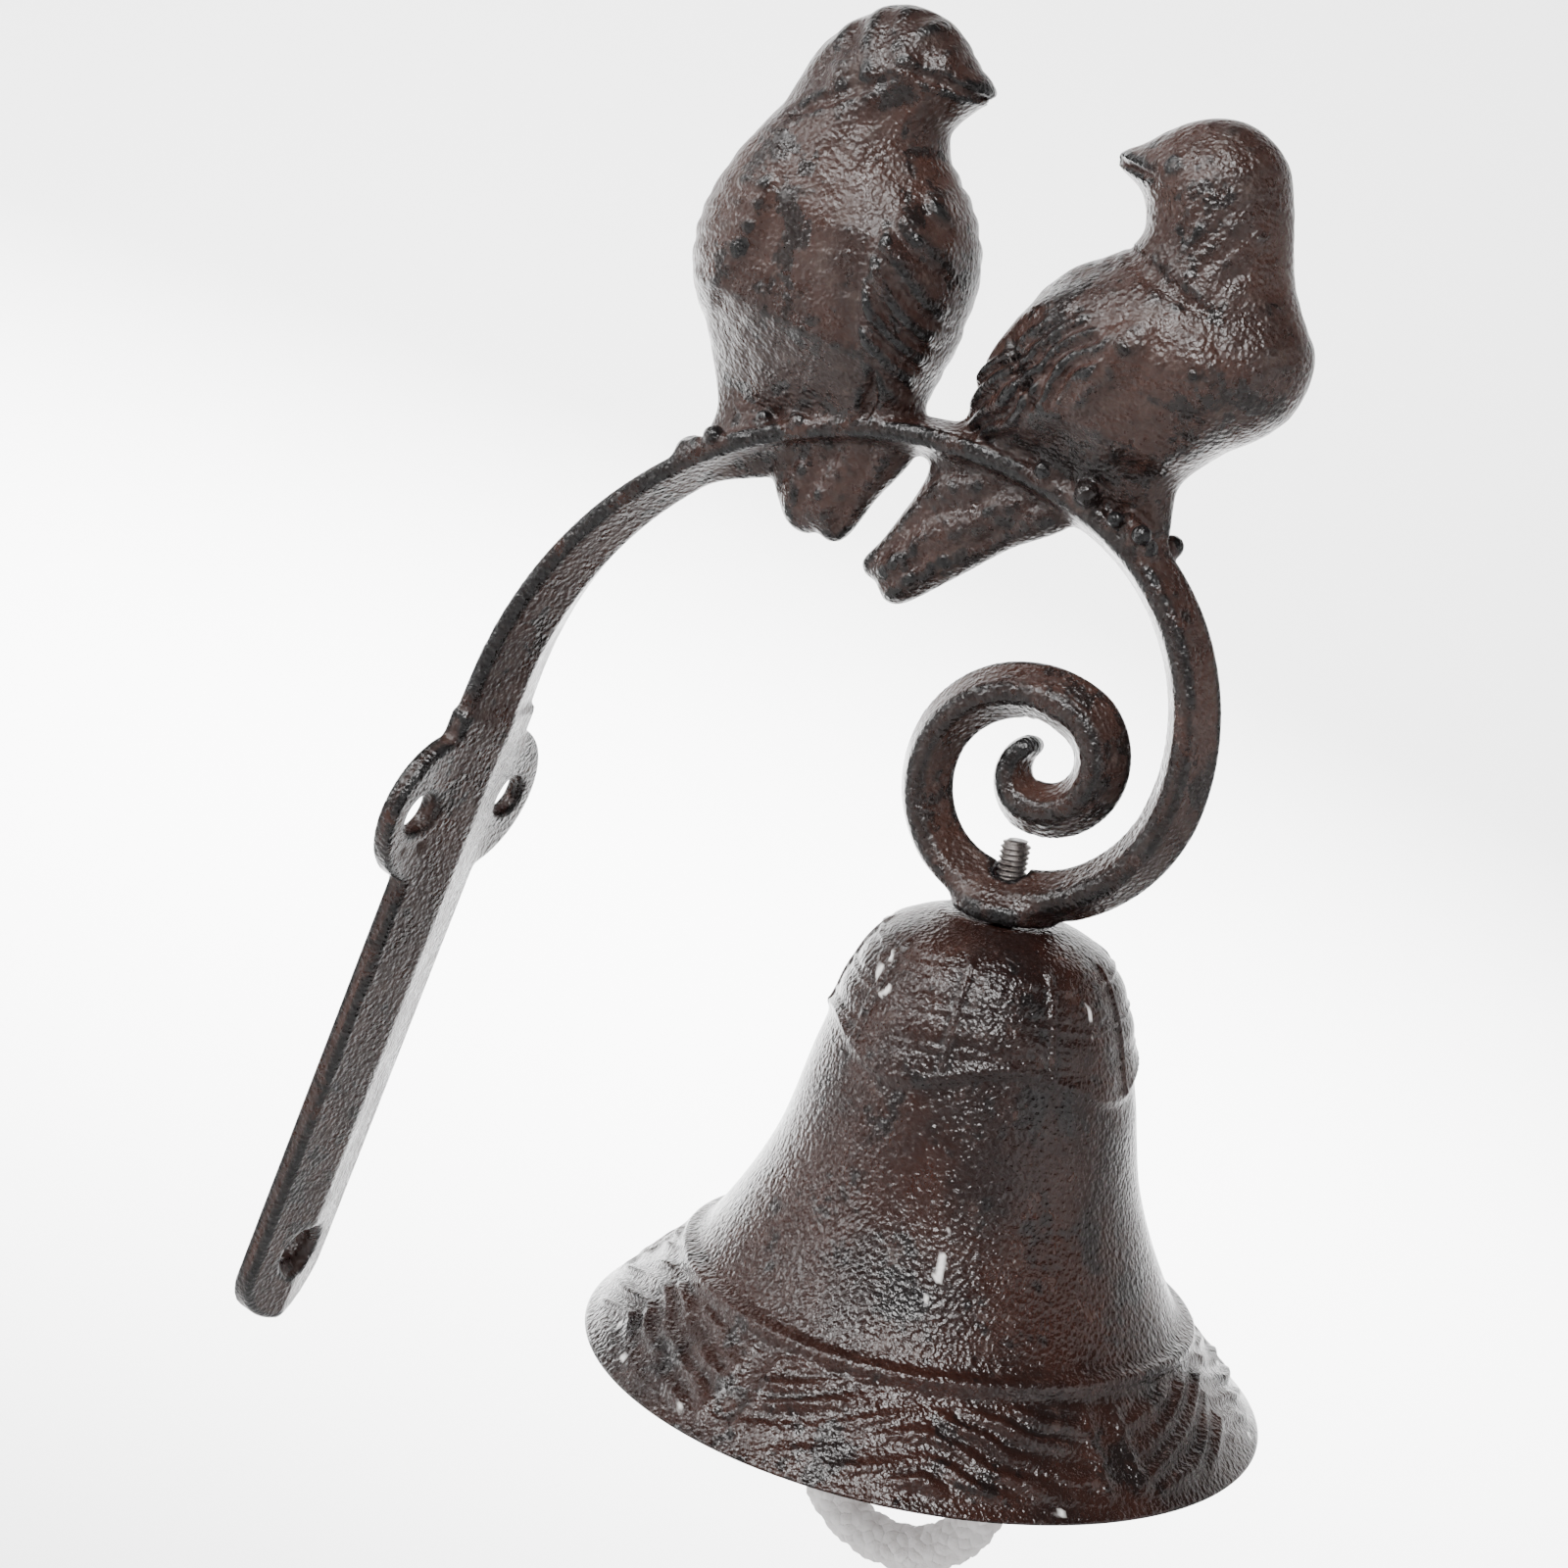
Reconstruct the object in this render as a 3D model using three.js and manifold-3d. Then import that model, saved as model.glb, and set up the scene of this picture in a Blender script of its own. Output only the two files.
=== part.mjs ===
// Wall mounted bell: a cast-iron bracket with two birds on a scrolled arm, and a bell bolted under the
// arm's scroll. Millimetres. +Z is up and +X points away from the wall. The origin is on the plate's
// back face, halfway between the two upper screw holes. The arm and the scroll lie in the XZ plane.
import * as THREE from 'three';
import { mergeVertices } from 'three/addons/utils/BufferGeometryUtils.js';
import Module from 'manifold-3d';

const wasm = await Module();
wasm.setup();

// ---------------------------------------------------------------- driving dimensions
const GAP = 0.3;                       // left between touching pieces

const PLATE_CREST = 4.8;               // thickness along the middle, where the plate's face has a ridge
const PLATE_EDGE = 2.8;                // thickness along the two sides and over the lugs
const PLATE_HALF_WIDTH = 8.7;
const PLATE_BOTTOM = -87;
const PLATE_TOP = 15;
const LUG_CENTRE_Y = 6;
const LUG_RADIUS = 11.4;
const SCREW_HOLE_RADIUS = 3.1;
const SCREW_HOLE_Y = 11;
const LOWER_HOLE_Z = -75;

// The strap is a ridged bar. Its middle line runs up the plate and on through arcs that touch: the arch,
// the limb, and the scroll's turns. Each arc is a radius and the angle in degrees where it ends.
const STRAP_MIDDLE_X = 1.2;
const STRAP_FOOT = 8;                  // straight length inside the plate
const ARCH_START_Z = 19.6;
const STRAP_ARCS = [[60, 81.4], [30, 0], [21.2, -72], [13.4, -282], [6.8, -450], [4, -575]];
const STRAP_FLANK = 1.1;               // half the thickness along the strap's two sides
// Length run along the strap, distance to the inner ridge, to the outer ridge, and half the width.
const STRAP_SECTIONS = [
  [0, 3.6, 1.2, 8.3],
  [28, 3.8, 1.4, 7.2],
  [49, 3.4, 1.6, 6.5],
  [69, 2.6, 2, 6],
  [111, 3.4, 2.6, 5],
  [130, 3.6, 3.2, 4.5],
  [154, 3.7, 3.7, 4.2],
  [172, 3.8, 3.2, 4.4],
  [182, 4.4, 2.2, 5.4],
  [192, 4, 3.5, 4.6],
  [208, 3.6, 3.8, 4.4],
  [222, 3.7, 3.8, 4.4],
  [231, 4.1, 4.2, 4.4],
  [242, 3.6, 3.8, 4.2],
  [250, 3.3, 4, 4],
  [256, 2.2, 2.2, 3.4],
  [260, 1.2, 1.2, 2.6],
];

const BELL_TOP = new THREE.Vector3(81.3, 0, 26.4);
const BELL_TILT = THREE.MathUtils.degToRad(14.5);
const BELL_HEIGHT = 62;
const MOUTH_RADIUS = 45;
const CROWN_WALL = 3.6;
const PAD_RADIUS = 6.8;
const PAD_HEIGHT = 2.4;

const BOLT_RADIUS = 2;
const BOLT_TIP = -10.2;
const BOLT_CLEARANCE_RADIUS = BOLT_RADIUS + 0.35;
const WASHER_RADIUS = 5.6;
const WASHER_THICKNESS = 1;
const NUT_ACROSS_CORNERS = 8.1;
const NUT_HEIGHT = 3.2;
const BOLT_EYE_DEPTH = 14.4;
const BOLT_EYE_RADIUS = 4;
const BOLT_EYE_WIRE = 1.4;

const LINK_RADIUS = 4.5;
const LINK_WIRE = 1;
const ROD_WIRE = 1;
const ROD_RADIUS = 1.3;
const UPPER_EYE_RADIUS = 2.8;
const BALL_DEPTH = 38.4;
const BALL_RADIUS = 8.8;
const LOWER_EYE_DEPTH = 52.6;
const LOWER_EYE_RADIUS = 3.6;
const LOWER_EYE_WIRE = 1.1;

const ROPE_RADIUS = 3.2;
const KNOT_STRAND_RADIUS = 2.1;
const KNOT_DEPTH = 62.6;
const KNOT_RADII = [7, 5.8, 4.8];
const ROPE_LOOP_RADIUS = 12.8;
const ROPE_LOOP_START = THREE.MathUtils.degToRad(33);

// Depths along the bell's axis, measured down from the top of its crown.
const WASHER_DEPTH = CROWN_WALL + GAP;
const NUT_DEPTH = WASHER_DEPTH + WASHER_THICKNESS + GAP;
const LINK_DEPTH = BOLT_EYE_DEPTH + BOLT_EYE_RADIUS - BOLT_EYE_WIRE - GAP - LINK_WIRE + LINK_RADIUS;
const UPPER_EYE_DEPTH = LINK_DEPTH + LINK_RADIUS - LINK_WIRE - GAP - ROD_WIRE + UPPER_EYE_RADIUS;

// ---------------------------------------------------------------- materials
const castIron = { color: 0x4a322b, roughness: 0.42, metalness: 0.55 };
const zincSteel = { color: 0x8a8d90, roughness: 0.35, metalness: 0.9 };
const darkSteel = { color: 0x4d4a48, roughness: 0.4, metalness: 0.85 };
const cotton = { color: 0xe6e1dc, roughness: 0.95, metalness: 0 };

// ---------------------------------------------------------------- helpers
function toSolid(geometry) {
  const bare = geometry.clone();
  bare.deleteAttribute('normal');
  bare.deleteAttribute('uv');
  const merged = mergeVertices(bare);
  const mesh = new wasm.Mesh({
    numProp: 3,
    vertProperties: new Float32Array(merged.attributes.position.array),
    triVerts: new Uint32Array(merged.index.array),
  });
  return new wasm.Manifold(mesh);
}

function toGeometry(solid) {
  const mesh = solid.getMesh();
  const geometry = new THREE.BufferGeometry();
  geometry.setAttribute('position', new THREE.BufferAttribute(mesh.vertProperties, mesh.numProp));
  geometry.setIndex(new THREE.BufferAttribute(mesh.triVerts, 1));
  geometry.computeVertexNormals();
  return geometry;
}

function join(...geometries) {
  return geometries.map(toSolid).reduce((whole, solid) => whole.add(solid));
}

function piece(name, geometry, look) {
  const mesh = new THREE.Mesh(geometry, new THREE.MeshStandardMaterial(look));
  mesh.name = name;
  return mesh;
}

// An outline drawn in X and Z, thickened evenly to both sides of the XZ plane.
function acrossY(shape, width, curveSegments = 8) {
  const geometry = new THREE.ExtrudeGeometry(shape, { depth: width, bevelEnabled: false, curveSegments });
  return geometry.rotateX(Math.PI / 2).translate(0, width / 2, 0);
}

// An outline drawn in Y and Z, thickened along +X from the wall.
function offTheWall(shape, thickness, curveSegments = 12) {
  const geometry = new THREE.ExtrudeGeometry(shape, {
    depth: thickness, bevelEnabled: false, curveSegments,
  });
  const turn = new THREE.Matrix4().makeBasis(
    new THREE.Vector3(0, 1, 0), new THREE.Vector3(0, 0, 1), new THREE.Vector3(1, 0, 0));
  return geometry.applyMatrix4(turn);
}

function ellipsoid(centre, radii, lean = 0) {
  return new THREE.SphereGeometry(1, 18, 12)
    .rotateX(Math.PI / 2)
    .scale(...radii)
    .rotateY(lean)
    .translate(...centre);
}

// A ring of round wire whose hole points along the named axis, centred on the bell's axis.
function wireRing(radius, wire, depth, holeAxis) {
  const ring = new THREE.TorusGeometry(radius, wire, 10, 22);
  if (holeAxis === 'y') ring.rotateX(Math.PI / 2);
  else ring.rotateY(Math.PI / 2);
  return ring.translate(0, 0, -depth);
}

// A round rod along the bell's axis between two depths.
function rod(radius, fromDepth, toDepth, sides = 24) {
  return new THREE.CylinderGeometry(radius, radius, toDepth - fromDepth, sides)
    .rotateX(Math.PI / 2)
    .translate(0, 0, -(fromDepth + toDepth) / 2);
}

// A body turned about the bell's axis from a closed outline of [radius, depth] points.
function turned(outline, segments) {
  const profile = outline.toReversed().map(([radius, depth]) => new THREE.Vector2(radius, -depth));
  profile.push(profile[0].clone());
  return new THREE.LatheGeometry(profile, segments).rotateX(Math.PI / 2);
}

// ---------------------------------------------------------------- bracket casting
function plateSolid() {
  const lugEnd = Math.acos((PLATE_HALF_WIDTH - LUG_CENTRE_Y) / LUG_RADIUS);
  const tipZ = PLATE_BOTTOM + PLATE_HALF_WIDTH;
  const outline = new THREE.Shape();
  outline.absarc(0, tipZ, PLATE_HALF_WIDTH, Math.PI, 2 * Math.PI);
  outline.absarc(LUG_CENTRE_Y, 0, LUG_RADIUS, -lugEnd, lugEnd);
  outline.lineTo(STRAP_SECTIONS[0][3], PLATE_TOP);
  outline.lineTo(-STRAP_SECTIONS[0][3], PLATE_TOP);
  outline.absarc(-LUG_CENTRE_Y, 0, LUG_RADIUS, Math.PI - lugEnd, Math.PI + lugEnd);
  for (const [y, z] of [[SCREW_HOLE_Y, 0], [-SCREW_HOLE_Y, 0], [0, LOWER_HOLE_Z]]) {
    outline.holes.push(new THREE.Path().absarc(y, z, SCREW_HOLE_RADIUS, 0, 2 * Math.PI));
  }
  return toSolid(offTheWall(outline, PLATE_CREST)).intersect(toSolid(plateRoof()));
}

// The plate's thickness seen from above: a ridge down the middle, falling to flat sides and lugs.
function plateRoof() {
  const lugEnd = LUG_CENTRE_Y + LUG_RADIUS;
  const section = [[0, -lugEnd], [PLATE_EDGE, -lugEnd], [PLATE_EDGE, -PLATE_HALF_WIDTH], [PLATE_CREST, 0],
    [PLATE_EDGE, PLATE_HALF_WIDTH], [PLATE_EDGE, lugEnd], [0, lugEnd]];
  const shape = new THREE.Shape(section.map(([x, y]) => new THREE.Vector2(x, y)));
  return new THREE.ExtrudeGeometry(shape, { depth: PLATE_TOP - PLATE_BOTTOM, bevelEnabled: false })
    .translate(0, 0, PLATE_BOTTOM);
}

// Stations along the strap's middle line, each with its direction towards the strap's inner side.
function strapStations() {
  const stations = [{ run: 0, x: STRAP_MIDDLE_X, z: ARCH_START_Z - STRAP_FOOT, inX: 1, inZ: 0 }];
  let run = STRAP_FOOT;
  let from = Math.PI;
  let [x, z] = [STRAP_MIDDLE_X, ARCH_START_Z];
  for (const [radius, endDegrees] of STRAP_ARCS) {
    const to = THREE.MathUtils.degToRad(endDegrees);
    const centreX = x - radius * Math.cos(from);
    const centreZ = z - radius * Math.sin(from);
    const steps = Math.ceil((from - to) / Math.min(3 / radius, 0.2));
    for (let step = 1; step <= steps; step += 1) {
      const angle = from + (to - from) * step / steps;
      const [inX, inZ] = [-Math.cos(angle), -Math.sin(angle)];
      x = centreX - radius * inX;
      z = centreZ - radius * inZ;
      stations.push({ run: run + radius * (from - angle), x, z, inX, inZ });
    }
    run += radius * (from - to);
    from = to;
  }
  return stations;
}

// The inner ridge, outer ridge and half width at a length along the strap.
function strapSection(run) {
  const next = Math.max(1, STRAP_SECTIONS.findIndex((section) => section[0] > run));
  const [before, after] = STRAP_SECTIONS.slice(next - 1, next + 1);
  const share = (run - before[0]) / (after[0] - before[0]);
  return [1, 2, 3].map((column) => THREE.MathUtils.lerp(before[column], after[column], share));
}

function strapRing({ run, x, z, inX, inZ }) {
  const [inner, outer, half] = strapSection(run);
  const corners = [[inner, 0], [STRAP_FLANK, half], [-STRAP_FLANK, half], [-outer, 0], [-STRAP_FLANK, -half],
    [STRAP_FLANK, -half]];
  return corners.map(([rise, y]) => [x + rise * inX, y, z + rise * inZ]);
}

function strapGeometry() {
  const rings = strapStations().map(strapRing);
  const sides = rings[0].length;
  const last = (rings.length - 1) * sides;
  const triangles = [];
  for (let ring = 0; ring < last; ring += sides) {
    for (let side = 0; side < sides; side += 1) {
      const after = (side + 1) % sides;
      triangles.push(ring + side, ring + after, ring + sides + side);
      triangles.push(ring + after, ring + sides + after, ring + sides + side);
    }
  }
  for (let side = 1; side < sides - 1; side += 1) {
    triangles.push(0, side + 1, side);
    triangles.push(last, last + side, last + side + 1);
  }
  const geometry = new THREE.BufferGeometry();
  geometry.setAttribute('position', new THREE.Float32BufferAttribute(rings.flat(2), 3));
  geometry.setIndex(triangles);
  return geometry;
}

// The boss under the scroll that the bell is bolted against, square to the bell's axis.
function padGeometry() {
  const pad = rod(PAD_RADIUS, -PAD_HEIGHT - GAP, -GAP, 32);
  return pad.rotateY(-BELL_TILT).translate(...BELL_TOP);
}

function tail(corners, width) {
  return acrossY(new THREE.Shape(corners.map(([x, z]) => new THREE.Vector2(x, z))), width);
}

function beak(base, tip, radius) {
  const from = new THREE.Vector3(...base);
  const to = new THREE.Vector3(...tip);
  const along = to.clone().sub(from);
  const turn = new THREE.Quaternion().setFromUnitVectors(new THREE.Vector3(0, 1, 0), along.clone().normalize());
  return new THREE.ConeGeometry(radius, along.length(), 12)
    .applyQuaternion(turn)
    .translate(...from.add(to).multiplyScalar(0.5));
}

function leftBird() {
  return join(
    ellipsoid([24.5, 0, 91], [17.6, 12.5, 21]),
    ellipsoid([21.8, 0, 113.6], [10.6, 9.4, 11.4]),
    ellipsoid([27, 0, 74], [12, 6.4, 8]),
    beak([28, 0, 118.6], [36, 0, 118.4], 4.2),
    tail([[26, 74], [28, 62.5], [33, 58.5], [40.5, 59.8], [42.5, 76]], 6));
}

function rightBird() {
  const bodyLean = THREE.MathUtils.degToRad(18);
  return join(
    ellipsoid([69.5, 0, 97], [17, 11.5, 18.5], bodyLean),
    ellipsoid([69, 0, 117.2], [10.4, 9.2, 11.2]),
    ellipsoid([70, 0, 82], [13, 6, 8]),
    ellipsoid([58.5, 0, 89], [7, 7.5, 14], bodyLean),
    beak([62, 0, 118.4], [53.8, 0, 118], 4.2),
    tail([[50, 80], [47.5, 70], [44.2, 58.2], [50, 55.8], [68, 78]], 7));
}

function bracketGeometry() {
  const boltHole = rod(BOLT_CLEARANCE_RADIUS, BOLT_TIP, 2)
    .rotateY(-BELL_TILT)
    .translate(...BELL_TOP);
  const solid = join(strapGeometry(), padGeometry())
    .add(plateSolid())
    .add(leftBird())
    .add(rightBird())
    .subtract(toSolid(boltHole));
  return toGeometry(solid);
}

// ---------------------------------------------------------------- bell
function bellGeometry() {
  const outside = new THREE.SplineCurve([
    new THREE.Vector2(8, 0), new THREE.Vector2(13.4, 2.6), new THREE.Vector2(17.6, 9),
    new THREE.Vector2(20.9, 20), new THREE.Vector2(24.3, 34), new THREE.Vector2(30.8, 47),
    new THREE.Vector2(38.4, 56), new THREE.Vector2(MOUTH_RADIUS, BELL_HEIGHT)]);
  const inside = new THREE.SplineCurve([
    new THREE.Vector2(MOUTH_RADIUS - 2.6, BELL_HEIGHT), new THREE.Vector2(35.4, 56.6),
    new THREE.Vector2(27.7, 48), new THREE.Vector2(21.1, 35), new THREE.Vector2(17.7, 20.5),
    new THREE.Vector2(14.4, 9.6), new THREE.Vector2(9, CROWN_WALL)]);
  const outline = [
    [BOLT_CLEARANCE_RADIUS, 0],
    ...outside.getPoints(14).map((point) => [point.x, point.y]),
    ...inside.getPoints(11).map((point) => [point.x, point.y]),
    [BOLT_CLEARANCE_RADIUS, CROWN_WALL],
  ];
  return turned(outline, 48);
}

// ---------------------------------------------------------------- hanging hardware
function eyeBoltGeometry() {
  return toGeometry(join(
    rod(BOLT_RADIUS, BOLT_TIP, BOLT_EYE_DEPTH - BOLT_EYE_RADIUS),
    wireRing(BOLT_EYE_RADIUS, BOLT_EYE_WIRE, BOLT_EYE_DEPTH, 'y')));
}

function washerGeometry() {
  const bottom = WASHER_DEPTH + WASHER_THICKNESS;
  return turned([
    [BOLT_CLEARANCE_RADIUS, WASHER_DEPTH], [WASHER_RADIUS, WASHER_DEPTH],
    [WASHER_RADIUS, bottom], [BOLT_CLEARANCE_RADIUS, bottom]], 32);
}

function nutGeometry() {
  const bottom = NUT_DEPTH + NUT_HEIGHT;
  const body = toSolid(rod(NUT_ACROSS_CORNERS / 2, NUT_DEPTH, bottom, 6));
  return toGeometry(body.subtract(toSolid(rod(BOLT_CLEARANCE_RADIUS, NUT_DEPTH - 1, bottom + 1))));
}

function clapperRodGeometry() {
  return toGeometry(join(
    wireRing(UPPER_EYE_RADIUS, ROD_WIRE, UPPER_EYE_DEPTH, 'y'),
    rod(ROD_RADIUS, UPPER_EYE_DEPTH + UPPER_EYE_RADIUS, LOWER_EYE_DEPTH - LOWER_EYE_RADIUS, 16),
    wireRing(LOWER_EYE_RADIUS, LOWER_EYE_WIRE, LOWER_EYE_DEPTH, 'x')));
}

function clapperBallGeometry() {
  const ball = toSolid(new THREE.SphereGeometry(BALL_RADIUS, 24, 16)
    .rotateX(Math.PI / 2)
    .translate(0, 0, -BALL_DEPTH));
  const bore = rod(ROD_RADIUS + GAP, BALL_DEPTH - 2 * BALL_RADIUS, BALL_DEPTH + 2 * BALL_RADIUS, 16);
  return toGeometry(ball.subtract(toSolid(bore)));
}

// ---------------------------------------------------------------- pull rope
function knotGeometry() {
  const strand = new THREE.TorusGeometry(
    LOWER_EYE_WIRE + GAP + KNOT_STRAND_RADIUS, KNOT_STRAND_RADIUS, 10, 20)
    .rotateX(Math.PI / 2)
    .translate(0, 0, -(LOWER_EYE_DEPTH + LOWER_EYE_RADIUS));
  return toGeometry(join(strand, ellipsoid([0, 0, -KNOT_DEPTH], KNOT_RADII)));
}

// The rope leaves one side of the knot, hangs in an open loop and comes back to the knot's other side.
function ropeGeometry() {
  const centreDepth = KNOT_DEPTH + ROPE_LOOP_RADIUS;
  const sweep = 2 * (Math.PI - ROPE_LOOP_START);
  const stations = Array.from({ length: 25 }, (_, index) => ROPE_LOOP_START + sweep * index / 24);
  const route = new THREE.CatmullRomCurve3(stations.map((angle) => new THREE.Vector3(
    -ROPE_LOOP_RADIUS * Math.sin(angle), 0, ROPE_LOOP_RADIUS * Math.cos(angle) - centreDepth)));
  const section = new THREE.Shape();
  section.absarc(0, 0, ROPE_RADIUS, 0, 2 * Math.PI);
  return new THREE.ExtrudeGeometry(section, {
    extrudePath: route, steps: 28, curveSegments: 5, bevelEnabled: false,
  });
}

// ---------------------------------------------------------------- assembly
const bellStack = new THREE.Group();
bellStack.position.copy(BELL_TOP);
bellStack.rotation.y = -BELL_TILT;
bellStack.add(
  piece('bell_casting', bellGeometry(), castIron),
  piece('eye_bolt', eyeBoltGeometry(), darkSteel),
  piece('clamp_washer', washerGeometry(), zincSteel),
  piece('clamp_nut', nutGeometry(), zincSteel),
  piece('hanger_ring', wireRing(LINK_RADIUS, LINK_WIRE, LINK_DEPTH, 'x'), zincSteel),
  piece('clapper_rod', clapperRodGeometry(), zincSteel),
  piece('clapper_ball', clapperBallGeometry(), castIron),
  piece('rope_knot', knotGeometry(), cotton),
  piece('pull_rope', ropeGeometry(), cotton));

const assembly = new THREE.Group();
assembly.add(piece('bracket_casting', bracketGeometry(), castIron), bellStack);

export default assembly;
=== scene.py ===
"""Looks of the wall mounted bell: camera, light, materials and the detailed pieces over the CAD frame."""
import math

import bpy
import numpy as np
from mathutils import Matrix, Vector


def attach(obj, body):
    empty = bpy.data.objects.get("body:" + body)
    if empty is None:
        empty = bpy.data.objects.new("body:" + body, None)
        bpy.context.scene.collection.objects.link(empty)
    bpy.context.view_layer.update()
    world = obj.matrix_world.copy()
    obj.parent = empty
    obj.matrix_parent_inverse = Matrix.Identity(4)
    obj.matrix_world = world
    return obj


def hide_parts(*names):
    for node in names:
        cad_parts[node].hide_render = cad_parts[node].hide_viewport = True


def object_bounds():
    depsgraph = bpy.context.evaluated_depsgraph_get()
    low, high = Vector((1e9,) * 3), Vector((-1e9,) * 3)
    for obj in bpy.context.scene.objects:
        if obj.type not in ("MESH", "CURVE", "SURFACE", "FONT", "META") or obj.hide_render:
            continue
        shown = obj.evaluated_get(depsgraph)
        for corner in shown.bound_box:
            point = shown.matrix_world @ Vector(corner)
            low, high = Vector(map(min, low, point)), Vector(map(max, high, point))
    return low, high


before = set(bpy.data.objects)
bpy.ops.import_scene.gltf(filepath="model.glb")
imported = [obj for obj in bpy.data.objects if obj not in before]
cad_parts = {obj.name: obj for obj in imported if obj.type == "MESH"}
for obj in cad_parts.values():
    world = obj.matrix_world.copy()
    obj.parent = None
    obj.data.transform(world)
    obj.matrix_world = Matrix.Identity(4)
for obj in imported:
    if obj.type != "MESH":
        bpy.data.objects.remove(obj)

CAD_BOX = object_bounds()
MM = 0.001

# ------------------------------------------------------------------ driving dimensions, in mm as in part.mjs
STRAP_MIDDLE_X = 1.2
STRAP_FOOT = 8
ARCH_START_Z = 19.6
STRAP_ARCS = [(60, 81.4), (30, 0), (21.2, -72), (13.4, -282), (6.8, -450), (4, -575)]
STRAP_FLANK = 1.1
# Length run along the strap, distance to the inner ridge, to the outer ridge, and half the width.
STRAP_SECTIONS = [
    (0, 3.6, 1.2, 8.3), (28, 3.8, 1.4, 7.2), (49, 3.4, 1.6, 6.5), (69, 2.6, 2, 6), (111, 3.4, 2.6, 5),
    (130, 3.6, 3.2, 4.5), (154, 3.7, 3.7, 4.2), (172, 3.8, 3.2, 4.4), (182, 4.4, 2.2, 5.4),
    (192, 4, 3.5, 4.6), (208, 3.6, 3.8, 4.4), (222, 3.7, 3.8, 4.4), (231, 4.1, 4.2, 4.4),
    (242, 3.6, 3.8, 4.2), (250, 3.3, 4, 4), (256, 2.2, 2.2, 3.4), (260, 1.2, 1.2, 2.6)]

PLATE_CREST = 4.8
PLATE_EDGE = 2.8
PLATE_TOP = 15
PLATE_BOTTOM = -87
PLATE_HALF_WIDTH = 8.7
LUG_CENTRE_Y = 6
LUG_RADIUS = 11.4
SCREW_HOLE_RADIUS = 3.1
SCREW_HOLES = [(11, 0), (-11, 0), (0, -75)]

BELL_TOP = (81.3, 0, 26.4)
BELL_TILT = math.radians(14.5)
BELL_HEIGHT = 62
CROWN_WALL = 3.6
PAD_RADIUS = 6.8
PAD_HEIGHT = 2.4
BOLT_RADIUS = 2
BOLT_TIP = -10.2
BOLT_HOLE_RADIUS = 2.35
BOLT_EYE_DEPTH = 14.4
BOLT_EYE_RADIUS = 4
BOLT_EYE_WIRE = 1.4

LOWER_EYE_DEPTH = 52.6
LOWER_EYE_RADIUS = 3.6
LOWER_EYE_WIRE = 1.1
ROPE_RADIUS = 3.2
KNOT_STRAND_RADIUS = 2.1
KNOT_DEPTH = 62.6
KNOT_RADII = (7, 5.8, 4.8)
ROPE_LOOP_RADIUS = 12.8
ROPE_LOOP_START = math.radians(33)

# Spacing of the grid that the bracket's solid is sampled on.
BRACKET_STEP = 0.45

RNG = np.random.default_rng(7)


# ------------------------------------------------------------------ camera, light and floor
def make_camera():
    azimuth, elevation, roll = (math.radians(angle) for angle in (22.57, 18.0, 23.1))
    distance = 0.390
    target = Vector((0.04608, 0, 0.02684))
    back = Vector((math.sin(azimuth) * math.cos(elevation),
                   -math.cos(azimuth) * math.cos(elevation),
                   math.sin(elevation)))
    level_right = Vector((math.cos(azimuth), math.sin(azimuth), 0))
    level_up = back.cross(level_right)
    right = level_right * math.cos(roll) + level_up * math.sin(roll)
    up = level_up * math.cos(roll) - level_right * math.sin(roll)
    camera = bpy.data.objects.new("camera", bpy.data.cameras.new("camera"))
    camera.data.sensor_width = 36
    camera.data.lens = 67.5
    camera.data.clip_start = 0.01
    basis = Matrix((right, up, back)).transposed().to_4x4()
    camera.matrix_world = Matrix.Translation(target + back * distance) @ basis
    bpy.context.scene.collection.objects.link(camera)
    bpy.context.scene.camera = camera


def add_softbox(name, place, aim, size, power, spread=180):
    light = bpy.data.lights.new(name, "AREA")
    light.shape = "RECTANGLE"
    light.size, light.size_y = size
    light.energy = power
    light.spread = math.radians(spread)
    softbox = bpy.data.objects.new(name, light)
    softbox.location = place
    softbox.rotation_euler = (Vector(aim) - Vector(place)).to_track_quat("-Z", "Y").to_euler()
    bpy.context.scene.collection.objects.link(softbox)


def make_light():
    centre = (0.05, 0, 0.02)
    add_softbox("key_overhead", (-0.20, -0.65, 1.00), centre, (0.40, 0.40), 13)
    add_softbox("front_above", (0.12, -0.78, 0.76), centre, (0.22, 0.34), 8)
    add_softbox("strip_left", (-0.74, -0.64, 0.40), centre, (0.18, 0.8), 9)
    add_softbox("side_window", (1.0, -0.25, 0.15), centre, (0.5, 0.9), 2)
    add_softbox("backdrop_wash", (-0.2, 0.45, 0.75), (-0.8, 1.4, -0.39), (1.4, 0.5), 150, 125)
    world = bpy.data.worlds.new("studio")
    world.use_nodes = True
    world.node_tree.nodes["Background"].inputs["Color"].default_value = (1, 1, 1, 1)
    world.node_tree.nodes["Background"].inputs["Strength"].default_value = 0.15
    bpy.context.scene.world = world


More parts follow.
